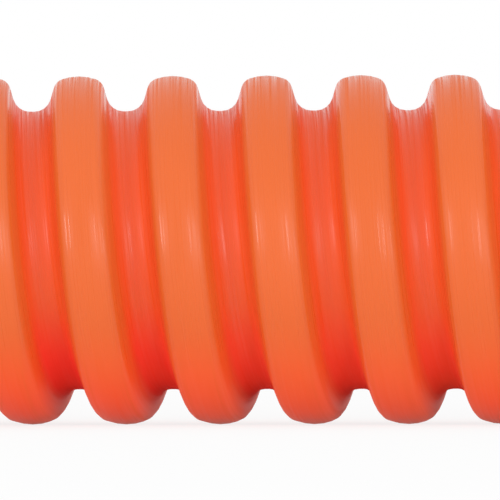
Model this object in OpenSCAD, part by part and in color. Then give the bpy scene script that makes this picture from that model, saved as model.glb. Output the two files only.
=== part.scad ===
// Corrugated cable conduit: one length of single-wall pipe whose wall is wound into one
// right-hand helical wave. It lies along X on the plane Z = 0, centred on the origin.
// Sizes in millimetres.

/* [Pipe] */
// Length between the two sawn ends
conduit_length = 1000; // [300:10:1000]
// Outside diameter over the crests of the wave
outside_d = 65; // [62.5:0.5:67.5]
// Thickness of the wall, the same on crest, flank and root
wall = 1.7; // [1.4:0.1:2]

/* [Wave] */
// Advance of the helix in one turn, crest to crest
pitch = 17.6; // [16:0.1:18]
// Depth of the wave, from the outside of a crest to the outside of a root
wave_depth = 6.2; // [5.5:0.1:6.6]
// Width of the round land on top of a crest, along the pipe
crest_w = 7.4; // [6.8:0.1:7.8]
// Width of the round land at the bottom of a root, along the pipe
root_w = 5; // [4.6:0.1:5.4]

/* [Rest] */
// How far the pipe is turned about its axis from lying with a crest halfway along it on the floor
rest_turn = 4.8; // [0:0.1:359]

/* [Hidden] */
orange = [0.94, 0.42, 0.22];
crest_r = outside_d / 2;
root_r = crest_r - wave_depth;
bore_r = root_r - wall; // the clear way for the cable
steps = 12; // flat steps in one turn of a flank
spare = 2; // how far what is cut off or cut out runs past each end
slope = wave_depth / ((pitch - crest_w - root_w) / 2); // rise of a flank over its run

conduit();

// The wall: the outer wave less the inner one. Both stop on true cylinders at crest and root,
// so the lands are round and only the flanks between them are made of flat steps.
module conduit() {
  color(orange)
    translate([0, 0, crest_r])
      rotate([rest_turn, 0, 0]) difference() {
        intersection() {
          rod(crest_r, 0);
          union() {
            flanks(0);
            rod(root_r, spare);
          }
        }
        intersection() {
          rod(crest_r - wall, spare);
          flanks(wall * sqrt(1 + slope * slope)); // the wall measured straight inwards on a flank
        }
        rod(bore_r, spare);
      }
}

// Round bar along the pipe, longer by `more` at each end.
module rod(r, more) {
  rotate([0, 90, 0])
    cylinder(r = r, h = conduit_length + 2 * more, center = true);
}

// Solid inside the sharp helical zigzag that the flanks lie on, `inwards` nearer the axis.
// Its corners lie on ridges (m even) and valleys (m odd), `steps` of them in one turn, and on
// lines along the pipe, so that the steps inside the wall lie straight under those outside.
// Before the pipe is turned to rest, a ridge halfway along it faces the floor.
// Corner i + steps of number m is corner i of number m + 2, one turn further along the helix.
module flanks(inwards) {
  ridge = crest_r + slope * crest_w / 2 - inwards;
  valley = root_r - slope * root_w / 2 - inwards;
  mean = 2 / (1 + cos(180 / steps)); // half of each step is outside the true wave, half inside
  ahead = 2 * ceil(conduit_length / pitch / 2) + 4; // ridges and valleys on each side of the middle
  count = 2 * ahead + 1;
  last = steps * count - 1;
  corners = [for (i = [0 : steps - 1]) for (m = [-ahead : ahead])
    let (a = 360 * i / steps - 90, r = mean * (m % 2 == 0 ? ridge : valley))
    [pitch * (m / 2 + i / steps), r * cos(a), r * sin(a)]];
  function at(i, m) = i == steps ? m + 2 : i * count + m;
  skin = [for (i = [0 : steps - 1]) for (m = [0 : count - (i == steps - 1 ? 4 : 2)]) each
    [[at(i, m), at(i, m + 1), at(i + 1, m + 1)], [at(i, m), at(i + 1, m + 1), at(i + 1, m)]]];
  rim0 = [for (i = [0 : steps + 1]) i <= steps ? at(i, 0) : 1];
  rim1 = [for (i = [steps + 1 : -1 : 0]) i < steps ? at(i, count - 1) : last - 1 - i + steps];
  polyhedron(
    [each corners, [corners[0][0] - pitch, 0, 0], [corners[last][0] + pitch, 0, 0]],
    [each skin, each fan(last + 1, rim0), each fan(last + 2, rim1)]);
}

// Triangles from one corner to each side of a rim.
function fan(hub, rim) = [for (k = [0 : len(rim) - 1]) [hub, rim[k], rim[(k + 1) % len(rim)]]];
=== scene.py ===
"""Corrugated cable conduit, dressed for a plain studio picture.

One length of single-wall pipe, wound into one right-hand helical wave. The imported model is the
frame, and the finished pipe made here stands for its plain solid. Metres throughout.
"""

import math

import bpy
import numpy as np
from bpy.props import FloatProperty, FloatVectorProperty, IntProperty, PointerProperty
from mathutils import Euler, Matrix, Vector


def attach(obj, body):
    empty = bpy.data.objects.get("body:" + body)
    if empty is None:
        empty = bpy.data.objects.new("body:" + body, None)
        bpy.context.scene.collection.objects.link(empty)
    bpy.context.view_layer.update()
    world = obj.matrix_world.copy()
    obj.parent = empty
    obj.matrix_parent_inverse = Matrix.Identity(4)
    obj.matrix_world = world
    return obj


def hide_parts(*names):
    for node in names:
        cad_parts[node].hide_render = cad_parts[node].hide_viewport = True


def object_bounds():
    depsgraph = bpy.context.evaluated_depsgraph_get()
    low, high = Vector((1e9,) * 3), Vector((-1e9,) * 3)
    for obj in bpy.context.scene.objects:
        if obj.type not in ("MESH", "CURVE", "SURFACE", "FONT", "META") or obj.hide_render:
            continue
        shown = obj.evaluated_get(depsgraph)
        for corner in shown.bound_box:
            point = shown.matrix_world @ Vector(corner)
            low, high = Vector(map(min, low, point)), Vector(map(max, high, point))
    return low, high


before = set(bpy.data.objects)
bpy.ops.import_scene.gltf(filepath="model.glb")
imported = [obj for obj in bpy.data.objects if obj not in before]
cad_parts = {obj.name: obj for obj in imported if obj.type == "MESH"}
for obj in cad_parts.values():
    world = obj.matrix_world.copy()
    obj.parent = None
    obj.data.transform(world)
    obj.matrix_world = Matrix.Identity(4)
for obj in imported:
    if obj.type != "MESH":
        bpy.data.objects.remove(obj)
CAD_LOW, CAD_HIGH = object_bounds()

bl_info = {
    "name": "Corrugated conduit",
    "version": (1, 0, 0),
    "blender": (4, 5, 0),
    "location": "View3D > Sidebar > Conduit",
    "description": "Makes a length of corrugated plastic conduit and a plain studio round it",
    "category": "Add Mesh",
}

MM = 0.001
NODE = "conduit"
BODY = "root"
AXIS_HEIGHT = (CAD_LOW.z + CAD_HIGH.z) / 2
MIDDLE = (CAD_LOW.x + CAD_HIGH.x) / 2

CLEAR_OF_END = 0.1 * MM  # points nearer an end than this are held on it
SAWN_GIRTH = 0.2  # one turn round a sawn face, about the pipe's girth
SHARP_ANGLE = math.radians(38)
ROW_GAP = 0.012  # between the rows of the flat skin
RING_ROW = 0.012  # height of a sawn ring's row
STRIP_SPARE, STRIP_LEAD = 0.03, 0.005  # room beside a strip, and before its start
LEAST_ROUGHNESS = 0.12

# Cells to a metre in the noises: along the helix and across it, or the same each way
LINE_CELLS = (22.0, 2300.0)
BAND_CELLS = (9.0, 620.0)
CLOUD_CELLS = 34.0
PEEL_CELLS = 700.0

FLOOR_REACH = 400.0
WHITE = (1.0, 1.0, 1.0, 1.0)
FLOOR_WHITENESS = 0.82  # how far the floor is seen as white, beside its own shade
SURROUNDING_LIGHT = 0.84


# Sizes and colours that a user would change


def length(name, description, default, low=0.0, high=10.0):
    """A size in metres."""
    return FloatProperty(
        name=name, description=description, default=default, min=low, max=high,
        unit="LENGTH", precision=5,
    )


def colour(name, description, default):
    """A linear colour."""
    return FloatVectorProperty(
        name=name, description=description, default=default, size=3,
        min=0.0, max=1.0, subtype="COLOR",
    )


def share(name, description, default, high=1.0):
    """A plain number from nothing up."""
    return FloatProperty(name=name, description=description, default=default, min=0.0, max=high)


class WaveSizes(bpy.types.PropertyGroup):
    """The pipe and the rounded wave of its wall."""

    pipe_length: length("Length", "Between the two sawn ends", CAD_HIGH.x - CAD_LOW.x)
    outside_d: length("Outside diameter", "Over the crests", CAD_HIGH.z - CAD_LOW.z)
    pitch: length("Pitch", "Advance of the helix in one turn", 17.6 * MM)
    crest_from_middle: length(
        "Crest from the middle",
        "Where the first crest lies on top, along the pipe",
        8.565 * MM,
        -0.02,
    )
    wave_depth: length("Wave depth", "From the top of a crest to the bottom of a root", 6.55 * MM)
    crown: length("Crown", "How far a crest falls from its middle to its shoulders", 0.52 * MM)
    shoulder_at: length(
        "Shoulder", "Half the width of a crest, to where its round shoulder starts", 3.13 * MM
    )
    shoulder_r: length("Shoulder radius", "Round edge of a crest", 2.42 * MM)
    root_fillet_r: length("Root radius", "Round of the groove's bottom", 3.16 * MM)
    flank_angle: FloatProperty(
        name="Flank angle", description="Slope of a flank, from the pipe's axis",
        default=math.radians(73.5), min=0.8, max=1.5, subtype="ANGLE",
    )
    bore_r: length("Bore radius", "Clear way for the cable", 24.6 * MM)
    crest_wall: length("Wall on a crest", "Thickness of the wall on the crests", 1.7 * MM)
    burr: length("Edge", "Small bevel left round a sawn end", 0.22 * MM)
    turn_steps: IntProperty(
        name="Steps in a turn", description="Flat steps round the pipe", default=48, min=12, max=96
    )


class PlasticFinish(bpy.types.PropertyGroup):
    """The orange polyethylene."""

    # Painted shade: the underside colour is a deeper red, its red raised and its green lowered,
    # standing in for the dimmer light below the pipe. The body is the plastic's own colour; nothing
    # fades it.
    body: colour("Plastic", "The plastic itself, as the light has faded it", (0.745, 0.130, 0.022))
    underside_shade: colour("Shaded plastic", "The deeper colour of the underside", (1.0, 0.112, 0.022))
    # Painted shade: the grooves are given a deeper, redder colour where shade falls in them.
    groove: colour(
        "Plastic in the grooves", "The deeper colour of the grooves", (0.86, 0.101, 0.021)
    )
    # Painted shade: a deeper red in the grooves of the underside, where shade falls deepest.
    deep: colour(
        "Plastic deep below", "The red deep in the grooves of the underside", (1.0, 0.046, 0.022)
    )
    # Painted shade: a thin deeper line at the foot of each crest, where the flank runs into the
    # groove.
    shoulder: colour(
        "Line at a shoulder", "The fine deeper line beside a crest", (0.85, 0.092, 0.022)
    )
    sawn: colour("Sawn face", "The plastic where the saw has whitened it", (0.90, 0.20, 0.06))
    gloss_roughness: share("Roughness", "Of the smooth skin", 0.36)
    # The draw lines are in roughness and bump; the same setting scales pale painted highlight streaks
    # on the crests' edges.
    streaks: share("Draw lines", "How strongly the fine lines along the wave show", 1.0, 3.0)


class StudioSizes(bpy.types.PropertyGroup):
    """The floor, the lamps and the camera."""

    floor_colour: colour("Floor", "Plain pale floor", (0.96, 0.96, 0.96))
    camera_turn: FloatProperty(
        name="Camera turn", description="Round the pipe, from square in front",
        default=math.radians(5.1), subtype="ANGLE",
    )
    camera_tilt: FloatProperty(
        name="Camera roll", description="Clockwise", default=math.radians(0.17), subtype="ANGLE"
    )
    camera_distance: length("Camera distance", "From the pipe's axis", 1.75, 0.2)
    camera_from_crest: length(
        "Aim",
        "Along the pipe, from the first crest on top to the aim of the camera",
        -3.2 * MM,
        -0.1,
    )
    camera_drop: length(
        "Aim below the axis", "Height of the aim below the pipe's axis", 0.02 * MM, -0.01
    )
    camera_lens: FloatProperty(
        name="Lens", description="Focal length in millimetres", default=675.9, min=20.0, max=2400.0
    )


class ConduitSettings(bpy.types.PropertyGroup):
    """All settings of the scene."""

    wave: PointerProperty(type=WaveSizes, name="Wave")
    finish: PointerProperty(type=PlasticFinish, name="Finish")
    studio: PointerProperty(type=StudioSizes, name="Studio")


# Shader maths


class Number:
    """A number that changes over a surface: one socket, with Python's arithmetic."""

    def __init__(self, shader, socket):
        self.shader, self.socket = shader, socket

    def math(self, operation, *others):
        node = self.shader.node(
            "ShaderNodeMath", {"operation": operation}, dict(enumerate((self, *others)))
        )
        return Number(self.shader, node.outputs[0])

    def __add__(self, other):
        return self.math("ADD", other)

    __radd__ = __add__

    def __mul__(self, other):
        return self.math("MULTIPLY", other)

    __rmul__ = __mul__

    def __sub__(self, other):
        return self.math("SUBTRACT", other)

    def __rsub__(self, other):
        return (self * -1.0) + other

    def __abs__(self):
        return self.math("ABSOLUTE")

    def step(self, start, end):
        """0 below start and 1 above end, smoothly. Falls instead where end is below start."""
        low, high, a, b = (start, end, 0.0, 1.0) if start < end else (end, start, 1.0, 0.0)
        node = self.shader.node(
            "ShaderNodeMapRange",
            {"interpolation_type": "SMOOTHSTEP"},
            {"Value": self, "From Min": low, "From Max": high, "To Min": a, "To Max": b},
        )
        return Number(self.shader, node.outputs["Result"])


class Shader:
    """The node tree of a material or a world, emptied and built afresh."""

    def __init__(self, owner):
        owner.use_nodes = True
        self.tree = owner.node_tree
        self.tree.nodes.clear()

    def node(self, kind, settings=None, sockets=None):
        """Adds a node: its settings first, then its sockets' values or links, by name or number."""
        made = self.tree.nodes.new(kind)
        for name, value in (settings or {}).items():
            setattr(made, name, value)
        for name, value in (sockets or {}).items():
            self.feed(made.inputs[name], value)
        return made

    def feed(self, socket, value):
        if isinstance(value, Number):
            value = value.socket
        if isinstance(value, bpy.types.NodeSocket):
            self.tree.links.new(value, socket)
        else:
            socket.default_value = value

    def mix(self, factor, a, b):
        """Colour a turning into colour b."""
        made = self.node("ShaderNodeMix", {"data_type": "RGBA", "clamp_factor": True})
        self.feed(made.inputs[0], factor)
        self.feed(made.inputs[6], a if isinstance(a, bpy.types.NodeSocket) else (*a, 1.0))
        self.feed(made.inputs[7], b if isinstance(b, bpy.types.NodeSocket) else (*b, 1.0))
        return made.outputs[2]

    def place(self, x, y, z=0.0):
        """A point from three numbers."""
        return self.node("ShaderNodeCombineXYZ", None, {"X": x, "Y": y, "Z": z}).outputs[0]

    def parts(self, vector):
        made = self.node("ShaderNodeSeparateXYZ", None, {0: vector})
        return [Number(self, s) for s in made.outputs]

    def noise(self, place, detail=2.0, roughness=0.5):
        """Noise about 0.5, one unit of place to a cell."""
        made = self.node(
            "ShaderNodeTexNoise",
            {"noise_dimensions": "3D"},
            {"Vector": place, "Scale": 1.0, "Detail": detail, "Roughness": roughness},
        )
        return Number(self, made.outputs[0])


# The wall's rounded wave


def wave_profile(sizes):
    """Half a wave of the outside and of the inside, as (along the pipe, radius).

    Each goes from the middle of a crest to the middle of a root.
    """
    crest_r = sizes.outside_d / 2
    slope = sizes.flank_angle
    half = sizes.pitch / 2
    # The crown leans into the shoulder, that into the straight flank, and that into the root.
    lean = math.atan(2 * sizes.crown / sizes.shoulder_at)
    r1 = sizes.shoulder_r
    turn_x = sizes.shoulder_at - r1 * math.sin(lean)
    turn_r = crest_r - sizes.crown - r1 * math.cos(lean)
    crown = [(sizes.shoulder_at * s, crest_r - sizes.crown * s**2) for s in (0.0, 0.55)]
    shoulder = [
        (turn_x + r1 * math.sin(a), turn_r + r1 * math.cos(a)) for a in np.linspace(lean, slope, 5)
    ]
    r2 = sizes.root_fillet_r
    bottom = crest_r - sizes.wave_depth
    end_x, end_r = shoulder[-1]
    fall = end_r - (bottom + r2 * (1 - math.cos(slope)))
    centre = end_x + fall / math.tan(slope) + r2 * math.sin(slope)
    root = [
        (min(centre - r2 * math.sin(a), half - 0.2 * MM), bottom + r2 * (1 - math.cos(a)))
        for a in np.linspace(slope, 0, 5)
    ]
    outside = crown + shoulder + root + [(half, bottom)]
    # Inside, the rounds keep their centres, so a crest's round is tighter and a root's is wider.
    tight, wide = r1 - sizes.crest_wall, r2 + sizes.crest_wall
    inner_crest = [(0.0, crest_r - sizes.crest_wall)] + [
        (turn_x + tight * math.sin(a), turn_r + tight * math.cos(a)) for a in (lean, slope)
    ]
    inner_root = [
        (centre - wide * math.sin(a), sizes.bore_r + wide * (1 - math.cos(a)))
        for a in (slope, slope * 0.6, slope * 0.3)
    ]
    inside = inner_crest + inner_root + [(half, sizes.bore_r)]
    return outside, inside


def whole_wave(half_wave, pitch):
    """One whole wave from the middle of a crest, without the point that starts the next."""
    rising = [(pitch - x, r) for x, r in half_wave[-2:0:-1]]
    return np.array(half_wave + rising)


class Skin:
    """One side of the wall, laid out on lines along the pipe.

    Point g of line j follows the helix. After a whole turn it meets the first line again, one
    wave further along.
    """

    def __init__(self, sizes, wave, first_index):
        self.steps, self.pitch = sizes.turn_steps, sizes.pitch
        self.per_wave = len(wave)
        self.half = sizes.pipe_length / 2 - sizes.burr
        waves = int(math.ceil(sizes.pipe_length / sizes.pitch / 2)) + 2
        turns = np.arange(-waves, waves + 1)
        self.along = (turns[:, None] * sizes.pitch + wave[None, :, 0]).ravel()
        self.radius = np.tile(wave[:, 1], len(turns))
        run = np.hypot(np.diff(self.along), np.diff(self.radius))
        self.surface = np.concatenate([[0], np.cumsum(run)])
        self.wave_run = self.surface[self.per_wave] - self.surface[0]
        self.crest = (np.arange(len(self.along)) + self.per_wave // 2) // self.per_wave - waves
        self.angle = -math.pi / 2 + 2 * math.pi * np.arange(self.steps + 1) / self.steps
        past_top = self.angle - math.pi / 2
        self.shift = sizes.crest_from_middle + sizes.pitch * past_top / (2 * math.pi)
        self.make(first_index)

    def make(self, first):
        """Numbers the points, and holds those past an end on that end."""
        points, self.index = [], np.zeros((self.steps + 1, len(self.along)), int)
        self.rims = ([], [])
        for j in range(self.steps):
            x = self.along + self.shift[j]
            ends = [first + len(points), first + len(points) + 1]
            for side, end in zip((-1, 1), ends, strict=True):
                r = float(np.interp(side * self.half, x, self.radius))
                points.append(self.place(side * self.half, r, self.angle[j]))
                self.rims[side > 0].append((end, r))
            inside = np.abs(x) < self.half - CLEAR_OF_END
            row = np.where(x < 0, ends[0], ends[1])
            row[inside] = first + len(points) + np.arange(inside.sum())
            points += [
                self.place(a, r, self.angle[j])
                for a, r in zip(x[inside], self.radius[inside], strict=True)
            ]
            self.index[j] = row
        w = self.per_wave
        self.index[-1, :-w] = self.index[0, w:]
        self.index[-1, -w:] = self.index[0, -1]
        self.points = points

    @staticmethod
    def place(along, r, angle):
        return (MIDDLE + along, r * math.cos(angle), AXIS_HEIGHT + r * math.sin(angle))

    def faces(self, outwards):
        """Quads and triangles, each corner as (point, place on the wave, place on the flat skin)."""
        made = []
        round_r = float(self.radius.mean())
        held = self.surface_at_points()
        for j in range(self.steps):
            a, b = self.index[j], self.index[j + 1]
            for g in range(len(self.along) - 1):
                corners = [
                    (a[g], j, g),
                    (a[g + 1], j, g + 1),
                    (b[g + 1], j + 1, g + 1),
                    (b[g], j + 1, g),
                ]
                kept = []
                for c in corners:
                    if not kept or c[0] != kept[-1][0]:
                        kept.append(c)
                if kept[0][0] == kept[-1][0]:
                    kept.pop()
                if len(kept) < 3:
                    continue
                crest = self.crest[g]
                out = []
                for index, jj, gg in kept:
                    turn = (self.angle[jj] + math.pi / 2) / (2 * math.pi)
                    across = self.along_held[jj, gg] - crest * self.pitch
                    helix = (crest + turn) * 2 * math.pi * round_r
                    run = held[jj, gg] + self.wave_run * turn
                    out.append((index, (helix, across), (run, turn)))
                made.append(out if outwards else out[::-1])
        return made

    def surface_at_points(self):
        """How far along the wall's surface each point of each line lies, held at the ends."""
        held = np.zeros(self.index.shape)
        self.along_held = np.zeros(self.index.shape)
        for j in range(self.steps + 1):
            x = np.clip(self.along + self.shift[j], -self.half, self.half) - self.shift[j]
            self.along_held[j] = x
            held[j] = np.interp(x, self.along, self.surface)
        return held


def sawn_end(outer, inner, side, sizes, first):
    """The flat sawn ring at one end, with the small bevels beside it: points and faces."""
    points, faces = [], []
    edge = side * sizes.pipe_length / 2
    steps = sizes.turn_steps
    which = side > 0
    rings = [[i for i, _ in outer.rims[which]]]
    for rim, sign in ((outer.rims[which], -1), (inner.rims[which], 1)):
        rings.append([first + len(points) + k for k in range(steps)])
        points += [
            Skin.place(edge, r + sign * sizes.burr, outer.angle[j]) for j, (_, r) in enumerate(rim)
        ]
    rings.append([i for i, _ in inner.rims[which]])
    for band, (a, b) in enumerate(zip(rings[:-1], rings[1:], strict=True)):
        for j in range(steps):
            n = (j + 1) % steps
            turns = (j / steps, (j + 1) / steps)
            quad = [
                (a[j], turns[0], band), (b[j], turns[0], band + 1),
                (b[n], turns[1], band + 1), (a[n], turns[1], band),
            ]
            faces.append(
                [
                    (i, (t * SAWN_GIRTH, level * MM), (t, level / 3))
                    for i, t, level in (quad if which else quad[::-1])
                ]
            )
    return points, faces


class MakePipe(bpy.types.Operator):
    """Makes the pipe: its rounded helical wall with sawn ends, in orange polyethylene"""

    bl_idname = "conduit.make_pipe"
    bl_label = "Make the pipe"

    def execute(self, context):
        settings = context.scene.conduit
        mesh = pipe_mesh(settings.wave)
        pipe = bpy.data.objects.new("corrugated_pipe", mesh)
        context.scene.collection.objects.link(pipe)
        mesh.materials.append(orange_polyethylene(settings.wave, settings.finish))
        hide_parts(NODE)
        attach(pipe, BODY)
        return {"FINISHED"}


def pipe_mesh(sizes):
    outside, inside = (whole_wave(half, sizes.pitch) for half in wave_profile(sizes))
    outer = Skin(sizes, outside, 0)
    inner = Skin(sizes, inside, len(outer.points))
    points = outer.points + inner.points
    parts = [("outer", outer.faces(True)), ("inner", inner.faces(False))]
    for side in (-1, 1):
        more, faces = sawn_end(outer, inner, side, sizes, len(points))
        points += more
        parts.append(("low_end" if side < 0 else "high_end", faces))

    mesh = bpy.data.meshes.new("corrugated_pipe")
    mesh.from_pydata(points, [], [[c[0] for c in face] for _, faces in parts for face in faces])
    wave_map = mesh.uv_layers.new(name="wave")
    flat_map = mesh.uv_layers.new(name="OFBake")
    mesh.uv_layers.active = flat_map
    wave_map.active_render = True
    wave_map.uv.foreach_set(
        "vector",
        np.array([c[1] for _, faces in parts for face in faces for c in face], np.float32).ravel(),
    )
    flat_map.uv.foreach_set("vector", unrolled(parts, outer, inner).astype(np.float32).ravel())
    mesh.polygons.foreach_set("use_smooth", np.ones(len(mesh.polygons), bool))
    mesh.set_sharp_from_angle(angle=SHARP_ANGLE)
    mesh.validate()
    mesh.update()
    return mesh


def unrolled(parts, outer, inner):
    """Every corner's place on the flat skin.

    Two strips of the outside, two of the inside and the two sawn rings lie one above another.
    """
    rows, at = {}, 0.0
    for name, skin in (("outer", outer), ("inner", inner)):
        girth = 2 * math.pi * float(skin.radius.mean())
        low = np.interp(-skin.half - skin.pitch, skin.along, skin.surface)
        high = np.interp(skin.half + skin.pitch, skin.along, skin.surface)
        for half in (0, 1):
            rows[name, half] = (at, girth, low, high)
            at += girth + ROW_GAP
    for name in ("low_end", "high_end"):
        rows[name, 0] = (at, RING_ROW, 0.0, 1.0)
        at += RING_ROW + ROW_GAP
    tall = at
    places = []
    for name, faces in parts:
        for face in faces:
            if name.endswith("end"):
                base, high, _, _ = rows[name, 0]
                places += [
                    (0.01 + 0.98 * turn, (base + high * level) / tall)
                    for _, _, (turn, level) in face
                ]
                continue
            _, _, low, high = rows[name, 0]
            middle = (low + high) / 2
            skin = outer if name == "outer" else inner
            half = int(np.mean([c[2][0] - 0.5 * skin.wave_run for c in face]) > middle)
            base, girth, _, _ = rows[name, half]
            wide = (high - low) / 2 + STRIP_SPARE
            start = (low if half == 0 else middle) - STRIP_LEAD
            places += [
                ((run - start) / wide, (base + girth * turn) / tall) for _, _, (run, turn) in face
            ]
    return np.clip(np.array(places), 0.0, 1.0)


def orange_polyethylene(sizes, finish):
    """Satin extruded plastic with paler, rougher sawn ends.

    It has fine draw lines along the wave, with pale painted highlight streaks on the crests' edges;
    painted shade in the grooves, on the underside and deeper in the underside's grooves;
    and a thin painted shade line beside each crest.
    """
    material = bpy.data.materials.new("orange_polyethylene")
    s = Shader(material)
    along, across, _ = s.parts(s.node("ShaderNodeUVMap", {"uv_map": "wave"}).outputs[0])
    x, y, z = s.parts(s.node("ShaderNodeTexCoord").outputs["Object"])
    away = abs(across)

    end = sizes.pipe_length / 2
    sawn = abs(x - MIDDLE).step(end - 0.6 * sizes.burr, end - 0.1 * sizes.burr)
    # Where the grooves' painted shade goes; the grooves are also a little rougher.
    groove = away.step(4.9 * MM, 6.4 * MM)
    # Painted shade line at each crest's foot, shifted 0.3 mm along the pipe.
    beside = abs(across - 0.3 * MM)
    shoulder = beside.step(4.8 * MM, 5.5 * MM) * beside.step(6.9 * MM, 5.9 * MM)
    # Where the pale painted highlight streaks go: the crests' edges and shoulders.
    crest_edge_sheen = away.step(1.2 * MM, 3.0 * MM) * away.step(5.2 * MM, 4.6 * MM)

    lines = s.noise(
        s.place(along * LINE_CELLS[0], across * LINE_CELLS[1]), detail=3.0, roughness=0.6
    )
    bands = s.noise(s.place(along * BAND_CELLS[0], across * BAND_CELLS[1], 4.0))
    cloud = s.noise(s.place(*(n * CLOUD_CELLS for n in (x, y, z))), detail=3.0)
    peel = s.noise(s.place(*(n * PEEL_CELLS for n in (x, y, z))))
    saw = s.noise(s.place(y * 260.0, z * 2600.0, x * 50.0))

    # Painted shade mask: the underside below the axis, where the painted-shade colour goes; it also
    # adds roughness there and calms the draw lines.
    low = z.step(AXIS_HEIGHT - 12.0 * MM, AXIS_HEIGHT - 30.0 * MM)
    # Painted shade mask: the grooves below the axis; it also makes them rougher.
    deep = groove * z.step(AXIS_HEIGHT - 8.0 * MM, AXIS_HEIGHT - 22.0 * MM)

    # Painted shade on the underside.
    colour_now = s.mix(low, tuple(finish.body), tuple(finish.underside_shade))
    # Painted shade in the grooves, varied by the bands noise.
    colour_now = s.mix(groove * (bands * 0.5 + 0.75), colour_now, tuple(finish.groove))
    # Painted shade line beside each crest.
    colour_now = s.mix(shoulder * (0.3 + 0.5 * bands), colour_now, tuple(finish.shoulder))
    # Painted shade deep in the underside's grooves.
    colour_now = s.mix(deep, colour_now, tuple(finish.deep))
    # Pale serves both the random paler cloud, the plastic's own tone, and the painted highlight
    # streaks.
    pale = tuple(min(1.0, c * 1.1 + 0.01) for c in finish.body)
    colour_now = s.mix((cloud - 0.42) * 0.9, colour_now, pale)
    # Painted highlight: pale streaks along the draw-line noise on the crests' edges.
    colour_now = s.mix((lines - 0.5) * crest_edge_sheen * (1.6 * finish.streaks), colour_now, pale)
    colour_now = s.mix(sawn * (saw * 0.5 + 0.6), colour_now, tuple(finish.sawn))

    rough = (
        finish.gloss_roughness
        + (lines - 0.5) * (1 - low * 0.8) * (1.6 * finish.streaks)
        + (cloud - 0.5) * 0.12
        + groove * 0.05
        + low * 0.2
        + deep * 0.3
        + sawn * 0.26
    )

    height = (
        (lines - 0.5) * (1.1 - low * 0.7) * (0.035 * finish.streaks)
        + (bands - 0.5) * (0.05 * finish.streaks)
        + (peel - 0.5) * 0.008
        + sawn * (saw - 0.5) * 0.12
    )
    bump = s.node("ShaderNodeBump", None, {"Strength": 1.0, "Distance": MM, "Height": height})
    skin = s.node(
        "ShaderNodeBsdfPrincipled",
        None,
        {
            "Base Color": colour_now,
            "Roughness": rough.math("MAXIMUM", LEAST_ROUGHNESS),
            "Normal": bump.outputs[0],
            "IOR": 1.51,
            "Specular IOR Level": 0.36,
        },
    )
    s.node("ShaderNodeOutputMaterial", None, {"Surface": skin.outputs[0]})
    return material


# Floor, lamps, sky and camera


class MakeStudio(bpy.types.Operator):
    """Makes the plain pale floor, the soft lamps, the white surroundings and the camera"""

    bl_idname = "conduit.make_studio"
    bl_label = "Make the studio"

    def execute(self, context):
        scene, settings = context.scene, context.scene.conduit
        pale_floor(scene, settings.studio)
        white_surroundings(scene)
        soft_lamps(scene)
        scene.camera = camera(scene, settings)
        scene.view_settings.view_transform = "Standard"
        return {"FINISHED"}


def seen_directly(shader):
    """1 for what the camera, a gloss or a clear piece sees, and 0 for what only lights the object."""
    path = shader.node("ShaderNodeLightPath")
    camera_ray, glossy, through = (
        Number(shader, path.outputs[n])
        for n in ("Is Camera Ray", "Is Glossy Ray", "Is Transmission Ray")
    )
    return camera_ray.math("MAXIMUM", glossy).math("MAXIMUM", through)


def pale_floor(scene, studio):
    reach = FLOOR_REACH
    mesh = bpy.data.meshes.new("floor")
    mesh.from_pydata(
        [(-reach, -reach, 0), (reach, -reach, 0), (reach, reach, 0), (-reach, reach, 0)],
        [],
        [(0, 1, 2, 3)],
    )
    floor = bpy.data.objects.new("floor", mesh)
    floor.location.z = CAD_LOW.z
    scene.collection.objects.link(floor)
    material = bpy.data.materials.new("pale_floor")
    s = Shader(material)
    matt = s.node("ShaderNodeBsdfDiffuse", None, {"Color": (*studio.floor_colour, 1.0)})
    white = s.node("ShaderNodeEmission", None, {"Color": WHITE, "Strength": 1.0})
    both = s.node(
        "ShaderNodeMixShader",
        None,
        {0: seen_directly(s) * FLOOR_WHITENESS, 1: matt.outputs[0], 2: white.outputs[0]},
    )
    s.node("ShaderNodeOutputMaterial", None, {"Surface": both.outputs[0]})
    mesh.materials.append(material)


def white_surroundings(scene):
    world = bpy.data.worlds.new("white_surroundings")
    scene.world = world
    s = Shader(world)
    dim = s.node("ShaderNodeBackground", None, {"Color": WHITE, "Strength": SURROUNDING_LIGHT})
    white = s.node("ShaderNodeBackground", None, {"Color": WHITE, "Strength": 1.0})
    both = s.node(
        "ShaderNodeMixShader", None, {0: seen_directly(s), 1: dim.outputs[0], 2: white.outputs[0]}
    )
    s.node("ShaderNodeOutputWorld", None, {"Surface": both.outputs[0]})


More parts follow.
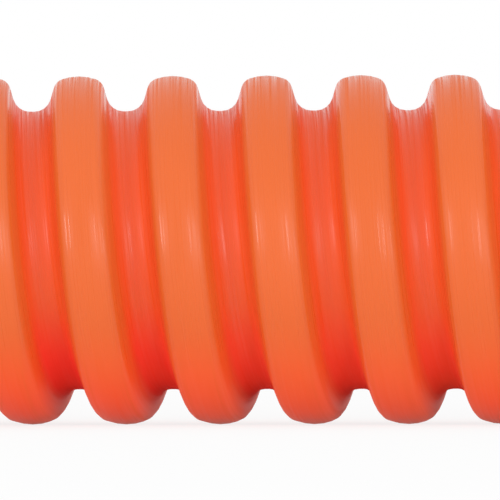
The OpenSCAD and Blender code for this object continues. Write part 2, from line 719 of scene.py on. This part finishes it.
def soft_lamps(scene):
    """Three softboxes: round from the front and up in degrees, then metres and watts."""
    aim = Vector((MIDDLE, 0.0, AXIS_HEIGHT))
    for name, turn, rise, far, wide, high, watts in (
        ("left_softbox", -45.0, 8.0, 2.6, 0.8, 0.8, 13.5),
        ("right_softbox", 24.0, 11.0, 2.6, 0.6, 1.1, 11.5),
        ("side_softbox", 52.0, 8.0, 2.6, 0.8, 0.8, 6.0),
    ):
        lamp = bpy.data.lights.new(name, "AREA")
        lamp.shape, lamp.size, lamp.size_y, lamp.energy = "RECTANGLE", wide, high, watts
        holder = bpy.data.objects.new(name, lamp)
        a, e = math.radians(turn), math.radians(rise)
        back = Vector((math.sin(a) * math.cos(e), -math.cos(a) * math.cos(e), math.sin(e)))
        holder.location = aim + back * far
        holder.rotation_euler = (-back).to_track_quat("-Z", "Y").to_euler()
        holder.visible_camera = False
        scene.collection.objects.link(holder)


def camera(scene, settings):
    studio = settings.studio
    data = bpy.data.cameras.new("camera")
    data.sensor_width, data.lens = 36.0, studio.camera_lens
    data.clip_start, data.clip_end = 0.05, 1000.0
    holder = bpy.data.objects.new("camera", data)
    turn = studio.camera_turn
    aim = Vector(
        (
            MIDDLE + settings.wave.crest_from_middle + studio.camera_from_crest,
            0.0,
            AXIS_HEIGHT - studio.camera_drop,
        )
    )
    holder.location = aim + studio.camera_distance * Vector((math.sin(turn), -math.cos(turn), 0.0))
    level = Euler((math.pi / 2, 0.0, turn)).to_matrix()
    roll = Euler((0.0, 0.0, -studio.camera_tilt)).to_matrix()
    holder.rotation_euler = (level @ roll).to_euler()
    scene.collection.objects.link(holder)
    return holder


class ConduitPanel(bpy.types.Panel):
    """Lists the settings and what can be made"""

    bl_idname = "VIEW3D_PT_conduit"
    bl_label = "Corrugated conduit"
    bl_space_type = "VIEW_3D"
    bl_region_type = "UI"
    bl_category = "Conduit"

    def draw(self, context):
        settings = context.scene.conduit
        for group in (settings.wave, settings.finish, settings.studio):
            box = self.layout.box()
            for name in group.bl_rna.properties.keys():
                if name not in ("rna_type", "name"):
                    box.prop(group, name)
        self.layout.operator(MakePipe.bl_idname)
        self.layout.operator(MakeStudio.bl_idname)


CLASSES = (
    WaveSizes,
    PlasticFinish,
    StudioSizes,
    ConduitSettings,
    MakePipe,
    MakeStudio,
    ConduitPanel,
)


def register():
    for cls in CLASSES:
        bpy.utils.register_class(cls)
    bpy.types.Scene.conduit = PointerProperty(type=ConduitSettings)


def unregister():
    del bpy.types.Scene.conduit
    for cls in reversed(CLASSES):
        bpy.utils.unregister_class(cls)


def main():
    register()
    bpy.ops.conduit.make_pipe()
    bpy.ops.conduit.make_studio()
    bpy.context.view_layer.update()


if __name__ == "__main__":
    main()
